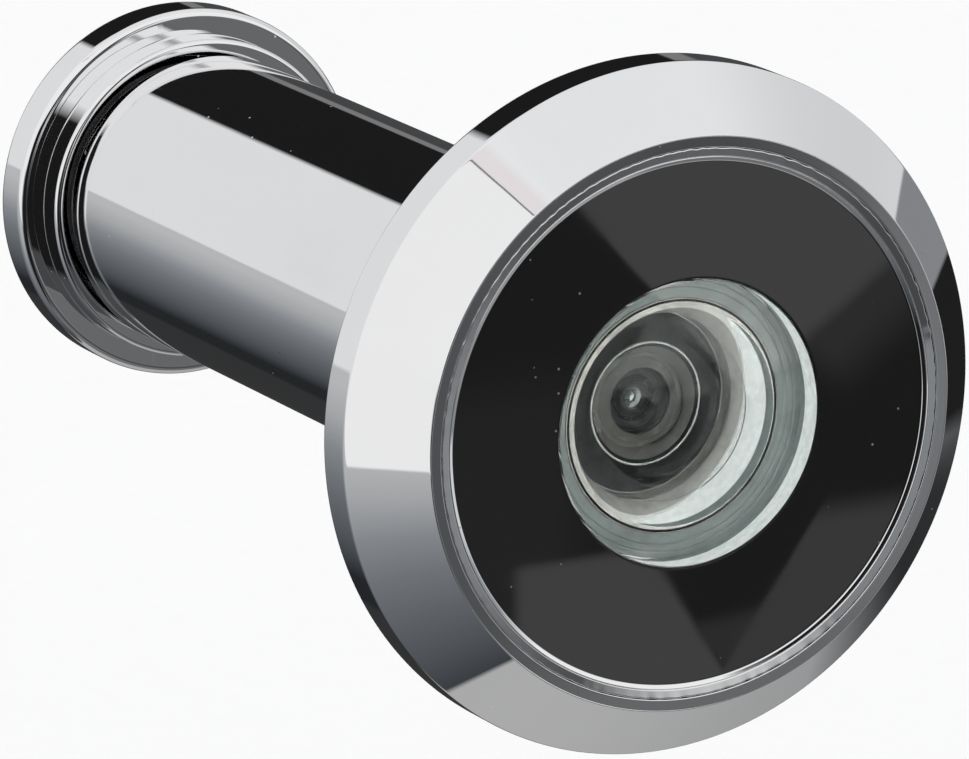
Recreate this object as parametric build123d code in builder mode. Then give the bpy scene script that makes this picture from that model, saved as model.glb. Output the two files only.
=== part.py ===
"""Door viewer with a wide bevelled front flange, in millimetres.

The viewer's axis is Y.  Y = 0 is the back of the front flange, where it seats on the outside
of the door.  The street side is towards -Y and the room side towards +Y, with +Z up.
Radii end in _r; places along the axis end in _y.
"""

from build123d import *
import math
import os

os.makedirs("parts", exist_ok=True)

# ---------------------------------------------------------------- driving dimensions
# Front flange: straight rim, bevel, narrow flat land, pocket for the black plate.
flange_r = 15.27
flange_rim = 1.92
bevel_height = 2.86
bevel_reach = 2.65
land_width = 0.52
flange_web = 1.20
back_edge_chamfer = 0.15

# Barrel: plain tube with a collar that pulls the flange against the door.
barrel_r = 7.00
barrel_length = 41.65
barrel_wall = 0.56
collar_reach = 2.00
collar_thickness = 0.70
barrel_end_chamfer = 0.35
press_step = 0.40

# Front window.
plate_thickness = 1.05
plate_recess = 0.28
plate_chamfer = 0.10
lip_reach = 0.64
lip_slope = 0.19
lip_sleeve = 0.28
sleeve_length = 1.50
cushion_gap = 0.30

# Objective lenses, from the street side inwards.
front_lens_r = 6.33
front_lens_recess = 0.02
front_lens_edge = 2.53
front_lens_centre = 0.90
front_dish_inset = 0.14
cell_head_wall = 1.87
cell_wall = 1.25
spacer_length = 1.15
spacer_wall = 0.36
middle_lens_edge = 2.40
middle_lens_centre = 0.80
middle_lens_rim = 1.76
cell_web = 0.80
cell_web_reach = 1.16
rear_bore_wall = 1.80
stop_thickness = 0.20
stop_reach = 2.01
rear_lens_edge = 2.40
rear_lens_centre = 0.90
rear_lens_rim = 0.91
rear_spacer_length = 0.60
lock_ring_length = 1.40
lock_ring_wall = 1.00
cell_tail = 0.60
spanner_slot = 0.80
spanner_slot_depth = 0.50

# Screw thread between the barrel and the eyepiece tube.
pitch = 1.00
thread_depth = 0.52
ridge_base = 0.66
ridge_tip = 0.14
female_turns = 8
travel = 20.0
thread_runout = 0.45

# Eyepiece unit.
end_gap = 0.70
hub_step = 0.62
hub_length = 1.35
hub_edge_chamfer = 0.20
rear_flange_reach = 1.20
rear_flange_thickness = 2.25
rear_edge_chamfer = 0.36
tube_wall = 0.75
tube_end_wall = 1.10
socket_depth = 2.30
neck_groove = 0.55
eye_wall = 0.87
eye_lens_edge = 1.10
eye_lens_rim = 1.00
eye_lens_bulge = 0.85
eye_seat_depth = 4.10
eye_seat_lip = 0.45
eye_seat_lip_length = 0.80
eye_seal_length = 0.45
eye_ring_length = 1.15
eye_ring_wall = 0.95
baffle_length = 3.20
baffle_reach = 1.64
neck_seal_r = 0.25
rear_land = 1.92
dish_depth = 0.85
coin_slot = 1.60
coin_slot_depth = 0.90

# Clearances.
fit = 0.02
seat_fit = 0.03
thread_gap = 0.13
thread_sink = 0.06
overcut = 0.05

# ---------------------------------------------------------------- worked-out places
face_r = flange_r - bevel_reach
pocket_r = face_r - land_width
collar_r = barrel_r + collar_reach
face_y = -(flange_rim + bevel_height)
plate_y = face_y + plate_recess
plate_back_y = plate_y + plate_thickness
pocket_floor_y = -flange_web
collar_y = pocket_floor_y - collar_thickness
barrel_bore_r = barrel_r - barrel_wall
barrel_seat_r = barrel_r + press_step

cell_head_r = front_lens_r + cell_head_wall
front_lens_y = plate_y + front_lens_recess
front_lens_back_y = front_lens_y + front_lens_edge
cell_r = barrel_bore_r - seat_fit
cell_bore_r = cell_r - cell_wall
front_lens_dish_r = cell_bore_r - front_dish_inset
middle_lens_dish_r = cell_bore_r - middle_lens_rim
middle_lens_y = front_lens_back_y + spacer_length
middle_lens_back_y = middle_lens_y + middle_lens_edge
web_back_y = middle_lens_back_y + cell_web
rear_bore_r = cell_r - rear_bore_wall
cell_web_hole_r = rear_bore_r - cell_web_reach
stop_hole_r = rear_bore_r - stop_reach
rear_lens_dish_r = rear_bore_r - rear_lens_rim
rear_lens_y = web_back_y + stop_thickness
rear_lens_back_y = rear_lens_y + rear_lens_edge
lock_ring_y = rear_lens_back_y + rear_spacer_length
cell_end_y = lock_ring_y + lock_ring_length + cell_tail

male_tip_r = barrel_bore_r - thread_gap
male_root_r = male_tip_r - thread_depth
tube_bore_r = male_root_r - tube_wall
baffle_hole_r = tube_bore_r - baffle_reach
hub_r = barrel_r + hub_step
rear_flange_r = hub_r + rear_flange_reach
dish_r = rear_flange_r - rear_land
eye_lens_r = male_root_r - eye_wall - fit
eye_lens_dome_r = eye_lens_r - eye_lens_rim
hub_y = barrel_length + end_gap
rear_seat_y = hub_y + hub_length
rear_face_y = rear_seat_y + rear_flange_thickness
socket_y = hub_y + socket_depth
male_turns = math.ceil(travel / pitch) + female_turns - 2
tube_start_y = barrel_length - (male_turns + 2) * pitch - thread_runout
eye_seat_y = socket_y - eye_seat_depth
eye_lens_back_y = eye_seat_y + eye_lens_edge
eye_ring_y = eye_lens_back_y + eye_seal_length
tube_end_r = eye_lens_r + fit + tube_end_wall


# ---------------------------------------------------------------- shapes used more than once
def turn(*outline):
    """Turn a closed outline of (radius, y) points about the viewer's axis."""
    with BuildSketch(Plane.XY) as profile:
        with BuildLine():
            Polyline(*outline, close=True)
        make_face()
    revolve(profile.sketch, axis=Axis.Y)


def ring(inner_r, outer_r, start_y, end_y):
    """Turn a plain ring between two radii and two places on the axis."""
    turn((inner_r, start_y), (outer_r, start_y), (outer_r, end_y), (inner_r, end_y))


def sphere_arc(pole, rim):
    """Draw the arc of a sphere from its pole on the axis to its rim."""
    sag = rim[1] - pole[1]
    sphere_r = (rim[0] ** 2 + sag**2) / (2 * sag)
    half = math.asin(rim[0] / abs(sphere_r)) / 2
    middle = (abs(sphere_r) * math.sin(half), pole[1] + sphere_r * (1 - math.cos(half)))
    ThreePointArc(pole, middle, rim)


def arc_lens(radius, front, back):
    """Turn a lens from two faces, each (y, dish radius, depth); a minus depth bulges out."""
    start_y, front_r, front_depth = front
    end_y, back_r, back_depth = back
    front_mid_y = start_y + front_depth
    back_mid_y = end_y - back_depth
    with BuildSketch(Plane.XY) as profile:
        with BuildLine():
            if front_depth:
                sphere_arc((0, front_mid_y), (front_r, start_y))
            else:
                Line((0, start_y), (front_r, start_y))
            if front_r < radius:
                Line((front_r, start_y), (radius, start_y))
            Line((radius, start_y), (radius, end_y))
            if back_r < radius:
                Line((radius, end_y), (back_r, end_y))
            sphere_arc((0, back_mid_y), (back_r, end_y))
            Line((0, back_mid_y), (0, front_mid_y))
        make_face()
    revolve(profile.sketch, axis=Axis.Y)


def thread_ridge(root_r, depth, start_y, turns):
    """Wind a right-hand ridge of trapezoid section; a minus depth stands inwards."""
    with BuildLine() as helix:
        Helix(pitch, turns * pitch, root_r, center=(0, start_y, 0), direction=(0, 1, 0))
    start = helix.line @ 0
    across = Plane(origin=start, x_dir=start - Vector(0, start_y, 0), z_dir=helix.line % 0)
    sink = math.copysign(thread_sink, depth)
    flare = (ridge_base - ridge_tip) / 2 * thread_sink / abs(depth)
    with BuildSketch(across) as section:
        with BuildLine():
            Polyline(
                (-sink, ridge_base / 2 + flare),
                (-sink, -ridge_base / 2 - flare),
                (depth, -ridge_tip / 2),
                (depth, ridge_tip / 2),
                close=True,
            )
        make_face()
    sweep(section.sketch, path=helix.line, is_frenet=True)


def cross_slot(width, inner_r, outer_r, start_y, end_y):
    """Cut one slot straight across a turned end, between two radii each side."""
    middle_y = (start_y + end_y) / 2
    reach = outer_r - inner_r
    middle_r = (outer_r + inner_r) / 2
    with Locations((middle_r, middle_y, 0), (-middle_r, middle_y, 0)):
        Box(reach, end_y - start_y, width, mode=Mode.SUBTRACT)


def slotted_ring(outer_r, wall, start_y, length):
    """Turn a retaining ring with two spanner slots across its rear end."""
    end_y = start_y + length
    ring(outer_r - wall, outer_r, start_y, end_y)
    slot_y = end_y - spanner_slot_depth
    cross_slot(spanner_slot, outer_r - wall - overcut, outer_r + overcut, slot_y, end_y + overcut)


# ---------------------------------------------------------------- front flange
with BuildPart() as front_flange:
    turn(
        (barrel_seat_r + fit, 0),
        (flange_r - back_edge_chamfer, 0),
        (flange_r, -back_edge_chamfer),
        (flange_r, -flange_rim),
        (face_r, face_y),
        (pocket_r, face_y),
        (pocket_r, pocket_floor_y),
        (barrel_seat_r + fit, pocket_floor_y),
    )

# ---------------------------------------------------------------- barrel
with BuildPart() as barrel:
    turn(
        (barrel_bore_r, collar_y),
        (collar_r, collar_y),
        (collar_r, pocket_floor_y),
        (barrel_seat_r, pocket_floor_y),
        (barrel_seat_r, 0),
        (barrel_r, 0),
        (barrel_r, barrel_length - barrel_end_chamfer),
        (barrel_r - barrel_end_chamfer, barrel_length),
        (barrel_bore_r, barrel_length),
    )
    female_start_y = barrel_length - (female_turns + 0.5) * pitch
    thread_ridge(barrel_bore_r, -thread_depth, female_start_y, female_turns)

# ---------------------------------------------------------------- front window
with BuildPart() as mask_plate:
    plate_r = pocket_r - lip_sleeve - fit
    window_r = front_lens_r + seat_fit
    turn(
        (window_r, plate_y),
        (plate_r - plate_chamfer, plate_y),
        (plate_r, plate_y + plate_chamfer),
        (plate_r, plate_back_y),
        (window_r, plate_back_y),
    )

with BuildPart() as front_retaining_ring:
    ring_r = pocket_r - fit
    turn(
        (ring_r, face_y + fit),
        (ring_r, face_y + plate_recess + sleeve_length),
        (ring_r - lip_sleeve + fit, face_y + plate_recess + sleeve_length),
        (ring_r - lip_sleeve + fit, plate_y),
        (pocket_r - lip_reach, plate_y),
        (pocket_r - lip_reach, face_y + lip_slope),
    )

with BuildPart() as cushion_ring:
    ring(max(collar_r, cell_head_r) + cushion_gap, plate_r, plate_back_y, pocket_floor_y)

# ---------------------------------------------------------------- objective
with BuildPart() as objective_cell:
    turn(
        (front_lens_r + fit, plate_back_y),
        (cell_head_r, plate_back_y),
        (cell_head_r, collar_y),
        (cell_r, collar_y),
        (cell_r, cell_end_y),
        (rear_bore_r + fit, cell_end_y),
        (rear_bore_r + fit, web_back_y),
        (cell_web_hole_r, web_back_y),
        (cell_web_hole_r, middle_lens_back_y),
        (cell_bore_r + fit, middle_lens_back_y),
        (cell_bore_r + fit, front_lens_back_y),
        (front_lens_r + fit, front_lens_back_y),
    )

with BuildPart() as front_lens:
    front_sag = front_lens_edge - front_lens_centre
    arc_lens(
        front_lens_r,
        (front_lens_y, front_lens_r, 0),
        (front_lens_back_y, front_lens_dish_r, front_sag),
    )

with BuildPart() as front_spacer:
    ring(cell_bore_r - spacer_wall, cell_bore_r, front_lens_back_y, middle_lens_y)

with BuildPart() as middle_lens:
    middle_sag = middle_lens_edge - middle_lens_centre
    arc_lens(
        cell_bore_r,
        (middle_lens_y, cell_bore_r, 0),
        (middle_lens_back_y, middle_lens_dish_r, middle_sag),
    )

with BuildPart() as stop_washer:
    ring(stop_hole_r, rear_bore_r, web_back_y, rear_lens_y)

with BuildPart() as rear_lens:
    rear_sag = (rear_lens_edge - rear_lens_centre) / 2
    arc_lens(
        rear_bore_r,
        (rear_lens_y, rear_lens_dish_r, rear_sag),
        (rear_lens_back_y, rear_lens_dish_r, rear_sag),
    )

with BuildPart() as rear_spacer:
    ring(rear_lens_dish_r, rear_bore_r, rear_lens_back_y, lock_ring_y)

with BuildPart() as objective_lock_ring:
    slotted_ring(rear_bore_r, lock_ring_wall, lock_ring_y, lock_ring_length)

# ---------------------------------------------------------------- eyepiece
with BuildPart() as eyepiece_tube:
    neck_r = male_tip_r - neck_groove
    turn(
        (tube_bore_r, tube_start_y),
        (male_root_r - thread_runout, tube_start_y),
        (male_root_r, tube_start_y + thread_runout),
        (male_root_r, barrel_length - pitch / 2),
        (neck_r, barrel_length - pitch / 2),
        (neck_r, hub_y),
        (tube_end_r, hub_y),
        (tube_end_r, socket_y),
        (eye_lens_r + fit, socket_y),
        (eye_lens_r + fit, eye_seat_y),
        (eye_lens_r - eye_seat_lip, eye_seat_y),
        (eye_lens_r - eye_seat_lip, eye_seat_y - eye_seat_lip_length),
        (tube_bore_r, eye_seat_y - eye_seat_lip_length),
    )
    male_start_y = barrel_length - (male_turns + 1) * pitch
    thread_ridge(male_root_r, thread_depth, male_start_y, male_turns)

with BuildPart() as neck_seal:
    with BuildSketch(Plane.XY):
        with Locations((neck_r + neck_seal_r, hub_y - neck_seal_r)):
            Circle(neck_seal_r)
    revolve(axis=Axis.Y)

with BuildPart() as rear_flange:
    turn(
        (tube_end_r + fit, hub_y),
        (hub_r - hub_edge_chamfer, hub_y),
        (hub_r, hub_y + hub_edge_chamfer),
        (hub_r, rear_seat_y),
        (rear_flange_r - rear_edge_chamfer, rear_seat_y),
        (rear_flange_r, rear_seat_y + rear_edge_chamfer),
        (rear_flange_r, rear_face_y - rear_edge_chamfer),
        (rear_flange_r - rear_edge_chamfer, rear_face_y),
        (dish_r, rear_face_y),
        (eye_lens_r + fit, rear_face_y - dish_depth),
        (eye_lens_r + fit, socket_y),
        (tube_end_r + fit, socket_y),
    )
    coin_slot_y = rear_face_y - coin_slot_depth
    cross_slot(coin_slot, eye_lens_r - overcut, dish_r + overcut, coin_slot_y, rear_face_y + overcut)

with BuildPart() as eye_lens:
    arc_lens(
        eye_lens_r,
        (eye_seat_y, eye_lens_dome_r, -eye_lens_bulge),
        (eye_lens_back_y, eye_lens_dome_r, -eye_lens_bulge),
    )

with BuildPart() as eye_seal:
    ring(eye_lens_r - eye_ring_wall, eye_lens_r, eye_lens_back_y, eye_ring_y)

with BuildPart() as eye_retaining_ring:
    slotted_ring(eye_lens_r, eye_ring_wall, eye_ring_y, eye_ring_length)

with BuildPart() as glare_baffle:
    baffle_end_y = tube_start_y + baffle_length
    ring(baffle_hole_r, tube_bore_r - fit, tube_start_y, baffle_end_y)

# ---------------------------------------------------------------- write the parts
pieces = {
    "front_flange": front_flange,
    "barrel": barrel,
    "mask_plate": mask_plate,
    "front_retaining_ring": front_retaining_ring,
    "cushion_ring": cushion_ring,
    "objective_cell": objective_cell,
    "front_lens": front_lens,
    "front_spacer": front_spacer,
    "middle_lens": middle_lens,
    "stop_washer": stop_washer,
    "rear_lens": rear_lens,
    "rear_spacer": rear_spacer,
    "objective_lock_ring": objective_lock_ring,
    "eyepiece_tube": eyepiece_tube,
    "neck_seal": neck_seal,
    "rear_flange": rear_flange,
    "eye_lens": eye_lens,
    "eye_seal": eye_seal,
    "eye_retaining_ring": eye_retaining_ring,
    "glare_baffle": glare_baffle,
}
for name, piece in pieces.items():
    piece.part.label = name
    export_step(piece.part, f"parts/{name}.step")
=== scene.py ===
"""Looks of a chrome door viewer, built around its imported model.

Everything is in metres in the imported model's frame: the viewer's axis is Y, the street side is
towards -Y, the room side towards +Y, and +Z is up.  Sizes in the classes are in millimetres.
"""

import logging
import math
from dataclasses import dataclass, field
from enum import Enum
from functools import reduce
from typing import Callable, Optional, Sequence

import bpy
import numpy as np
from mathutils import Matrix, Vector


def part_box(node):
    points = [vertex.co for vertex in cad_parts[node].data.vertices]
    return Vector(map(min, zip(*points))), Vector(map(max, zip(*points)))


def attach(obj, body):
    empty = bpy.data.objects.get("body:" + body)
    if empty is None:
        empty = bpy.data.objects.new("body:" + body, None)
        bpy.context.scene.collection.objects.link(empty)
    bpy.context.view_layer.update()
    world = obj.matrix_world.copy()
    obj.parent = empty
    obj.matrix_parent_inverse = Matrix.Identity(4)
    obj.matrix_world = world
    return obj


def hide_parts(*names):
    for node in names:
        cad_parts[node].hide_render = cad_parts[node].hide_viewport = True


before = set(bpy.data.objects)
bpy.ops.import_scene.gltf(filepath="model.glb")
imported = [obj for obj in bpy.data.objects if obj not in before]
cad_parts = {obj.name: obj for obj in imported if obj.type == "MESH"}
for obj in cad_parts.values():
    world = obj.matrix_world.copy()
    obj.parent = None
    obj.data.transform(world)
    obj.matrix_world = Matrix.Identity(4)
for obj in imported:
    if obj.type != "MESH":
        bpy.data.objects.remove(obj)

MM = 0.001
TAU = 2.0 * math.pi
LOG = logging.getLogger("door_viewer")
Socket = bpy.types.NodeSocket
Warp = Callable[[np.ndarray, np.ndarray, np.ndarray], tuple[np.ndarray, np.ndarray, np.ndarray]]


class Body(Enum):
    """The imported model's bodies, which the pieces ride on."""

    OUTER = "outer_unit"
    OPTICS = "eyepiece_optics"
    EYEPIECE = "eyepiece"


# ---------------------------------------------------------------- surfaces
def outline(corners: Sequence[tuple[float, ...]], steps: int = 6, hold: float = 0.05) -> np.ndarray:
    """Closed outline with rounded corners.

    Each corner is cut back along both of its sides by its setback, and the two cut points are
    joined by the conic whose middle weight is the cosine of half the turn, which is a circle's
    arc.  A point a little further along each side keeps the flats flat when shaded.

    Args:
        corners: (radius, y, setback, cuts) per corner in mm; cuts is how many even points go
            on the side that follows.
        steps: points on each rounded corner.
        hold: distance of the extra points from each rounded corner.

    Returns:
        Points as rows of (radius, y) in mm, going round so that the inside is on the left.
    """
    table = np.array([(*corner, 0.0, 0.0)[:4] for corner in corners], float)
    point, setback = table[:, :2], np.maximum(table[:, 2:3], 0.012)
    back, ahead = np.roll(point, 1, 0) - point, np.roll(point, -1, 0) - point
    back /= np.linalg.norm(back, axis=1, keepdims=True)
    ahead /= np.linalg.norm(ahead, axis=1, keepdims=True)
    weight = np.sqrt(np.clip((1.0 - (back * ahead).sum(1)) / 2.0, 0.0, 1.0))[:, None, None]
    s = np.linspace(0.0, 1.0, steps)[None, :, None]
    first, last = (point + back * setback)[:, None], (point + ahead * setback)[:, None]
    middle = 2.0 * weight * s * (1.0 - s)
    arc = first * (1.0 - s) ** 2 + point[:, None] * middle + last * s**2
    arc /= (1.0 - s) ** 2 + middle + s**2
    arc = np.concatenate([first + hold * back[:, None], arc, last + hold * ahead[:, None]], 1)
    runs = []
    for i, cuts in enumerate(table[:, 3].astype(int)):
        share = np.linspace(0.0, 1.0, cuts + 2)[1:-1, None]
        runs += [arc[i], arc[i, -1] + share * (arc[(i + 1) % len(arc), 0] - arc[i, -1])]
    line = np.concatenate(runs)
    r, y = line.T
    area = (r * np.roll(y, -1) - np.roll(r, -1) * y).sum()
    return line if area > 0.0 else line[::-1]


def sphere_face(pole_y: float, rim_r: float, rim_y: float, rows: int = 24) -> np.ndarray:
    """Profile of a spherical face from its pole on the axis to its rim.

    The sphere's radius is (rim radius squared + sag squared) / (2 sag), and each point lies
    at equal steps of angle about the sphere's centre.  A face with no sag is a flat disc.

    Args:
        pole_y: place of the face's middle on the axis, in mm.
        rim_r: radius of the face's rim, in mm.
        rim_y: place of the rim on the axis, in mm.
        rows: points from the pole to the rim.

    Returns:
        Points as rows of (radius, y) in mm.
    """
    sag = rim_y - pole_y
    if abs(sag) < 1e-6:
        return np.column_stack([np.linspace(0.0, rim_r, rows), np.full(rows, rim_y)])
    ball = (rim_r**2 + sag**2) / (2.0 * sag)
    turn = np.linspace(0.0, math.asin(min(1.0, rim_r / abs(ball))), rows)
    return np.column_stack([abs(ball) * np.sin(turn), pole_y + ball * (1.0 - np.cos(turn))])


def spin(name: str, profile: np.ndarray, columns: int = 256, warp: Optional[Warp] = None,
         zones: Sequence[tuple[int, int, int]] = ()) -> bpy.types.Object:
    """Turn a profile about the Y axis into a closed mesh.

    A point of the surface is (r cos t, y, r sin t), where (r, y) runs along the profile and t
    round the axis.  A profile that starts and ends on the axis is closed by a fan at each pole,
    and any other one by joining its last point to its first.

    Args:
        name: the new object's name.
        profile: rows of (radius, y) in mm, with the solid on the left.
        columns: points round the axis.
        warp: changes the grids of radius, y and turn before the mesh is made.
        zones: (first row, last row, material index) of faces that take another material.

    Returns:
        The object, at the origin, with its place in its mesh.
    """
    poles = bool(profile[0, 0] < 1e-9 and profile[-1, 0] < 1e-9)
    rows = profile[1:-1] if poles else profile
    count = len(rows)
    turn = np.broadcast_to(np.arange(columns) * TAU / columns, (count, columns))
    r, y = (np.broadcast_to(rows[:, k:k + 1], (count, columns)) for k in (0, 1))
    if warp is not None:
        r, y, turn = warp(r, y, turn)
    places = np.stack([r * np.cos(turn), y, r * np.sin(turn)], -1).reshape(-1, 3)
    i, j = np.meshgrid(np.arange(count - poles), np.arange(columns), indexing="ij")
    ahead, beside = (i + 1) % count, (j + 1) % columns
    corners = [i * columns + j, ahead * columns + j, ahead * columns + beside, i * columns + beside]
    faces = np.stack(corners, -1).reshape(-1, 4).tolist()
    marks = np.zeros((count - poles, columns), np.int32)
    for first, last, index in zones:
        marks[first:last] = index
    marks = marks.ravel()
    if poles:
        ring = np.arange(columns)
        end = (count - 1) * columns
        bottom, top = len(places), len(places) + 1
        beside = (ring + 1) % columns
        faces += np.column_stack([np.full(columns, bottom), ring, beside]).tolist()
        faces += np.column_stack([np.full(columns, top), end + beside, end + ring]).tolist()
        places = np.vstack([places, [[0.0, profile[0, 1], 0.0], [0.0, profile[-1, 1], 0.0]]])
        marks = np.concatenate([marks, np.zeros(2 * columns, np.int32)])
    mesh = bpy.data.meshes.new(name)
    mesh.from_pydata((places * MM).tolist(), [], faces)
    mesh.polygons.foreach_set("material_index", marks)
    mesh.shade_smooth()
    mesh.set_sharp_from_angle(angle=math.radians(38.0))
    mesh.validate()
    piece = bpy.data.objects.new(name, mesh)
    bpy.context.scene.collection.objects.link(piece)
    return piece


@dataclass(frozen=True)
class Thread:
    """A right-hand screw ridge on a round wall.

    The ridge's middle climbs by one pitch for each turn about +Y.  Its height is a straight
    flank from half the base width to half the tip width, and fades out at both ends.  The rows
    on the wall are first moved, by less than their spacing, to fixed places on the ridge's
    profile, so that its crest and foot are clean lines.
    """

    wall_r: float
    depth: float
    start_y: float
    turns: float
    pitch: float = 1.0
    base: float = 0.66
    tip: float = 0.14
    fade: float = 0.25
    rows: int = 16
    run_out: float = 0.20
    last_row: float = 0.27

    def warp(self, r: np.ndarray, y: np.ndarray, turn: np.ndarray) -> tuple[np.ndarray, ...]:
        """Raise the ridge on the rows that lie on the wall.

        Args:
            r: radii of the grid in mm.
            y: places along the axis in mm.
            turn: angles from +X towards +Z.

        Returns:
            The grids of radius, y and turn with the ridge on them.
        """
        lead = (0.25 - turn / TAU) % 1.0
        on_wall = np.abs(r - self.wall_r) < 0.005
        along = (y - self.start_y) / self.pitch
        even = (np.round(along * self.rows) + (lead * self.rows) % 1.0) / self.rows
        threaded = on_wall & (along > -self.run_out) & (along < self.turns + self.run_out)
        along = np.where(threaded, np.minimum(even, self.turns + self.last_row), along)
        ridge = np.round(along - lead) + lead
        off = np.abs(along - ridge) * self.pitch
        flank = np.clip((self.base / 2 - off) / ((self.base - self.tip) / 2), 0.0, 1.0)
        ends = np.clip(np.minimum(ridge, self.turns - ridge) / self.fade, 0.0, 1.0)
        return r + on_wall * flank * ends * self.depth, self.start_y + along * self.pitch, turn


@dataclass(frozen=True)
class CrossSlot:
    """A slot cut straight across the end of a turned piece.

    The grid's columns are pushed together so that two of them follow each side of the slot,
    at an angle of arcsine (half width / radius) less and plus the wall's small angle, and the
    columns between go down to the floor.
    """

    width: float
    floor_y: float
    end_r: float = 99.0
    inside: int = 8
    wall: float = 0.0015

    def warp(self, r: np.ndarray, y: np.ndarray, turn: np.ndarray) -> tuple[np.ndarray, ...]:
        """Sink the slot into the rows above its floor.

        Args:
            r: radii of the grid in mm.
            y: places along the axis in mm.
            turn: angles from +X towards +Z, evenly spaced.

        Returns:
            The grids of radius, y and turn with the slot in them.
        """
        columns = turn.shape[1]
        quarter = columns / 4.0
        place = turn / TAU * columns
        near = np.round(place / (2 * quarter)) * 2 * quarter
        off = place - near
        side = np.arcsin(np.clip(self.width / 2 / r, 0.0, 0.9))
        within = np.abs(off) / self.inside * (side - self.wall)
        share = (np.abs(off) - self.inside - 1) / (quarter - self.inside - 1)
        outside = side + self.wall + share * (math.pi / 2 - side - self.wall)
        cut = np.abs(off) <= self.inside
        turned = near / columns * TAU + np.sign(off) * np.where(cut, within, outside)
        sunk = np.where(cut & (r < self.end_r) & (y > self.floor_y), self.floor_y, y)
        return r, sunk, turned


@dataclass(frozen=True)
class HandSpunEdge:
    """Slight unevenness that spinning leaves on a folded edge.

    The radius and height of the rows near the edge gain a sum of waves round the axis whose
    phases come from a seeded generator, each fading with distance from the edge.
    """

    edge_r: float
    edge_y: float
    reach: float
    height: float
    waves: int = 26
    seed: int = 4

    def warp(self, r: np.ndarray, y: np.ndarray, turn: np.ndarray) -> tuple[np.ndarray, ...]:
        """Move the rows near the edge by the waves.

        Args:
            r: radii of the grid in mm.
            y: places along the axis in mm.
            turn: angles from +X towards +Z.

        Returns:
            The grids of radius, y and turn with the unevenness on them.
        """
        rng = np.random.default_rng(self.seed)
        count = rng.integers(30, 150, self.waves)[:, None]
        phase = rng.uniform(0.0, TAU, self.waves)[:, None]
        share = rng.uniform(0.3, 1.0, self.waves)[:, None] / math.sqrt(self.waves)
        ripple = (share * np.sin(count * turn[0] + phase)).sum(0)[None]
        far = np.hypot(r - self.edge_r, y - self.edge_y)
        near = np.clip(1.0 - far / self.reach, 0.0, 1.0)
        return r + near * ripple * self.height, y - near * ripple * self.height * 0.3, turn


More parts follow.
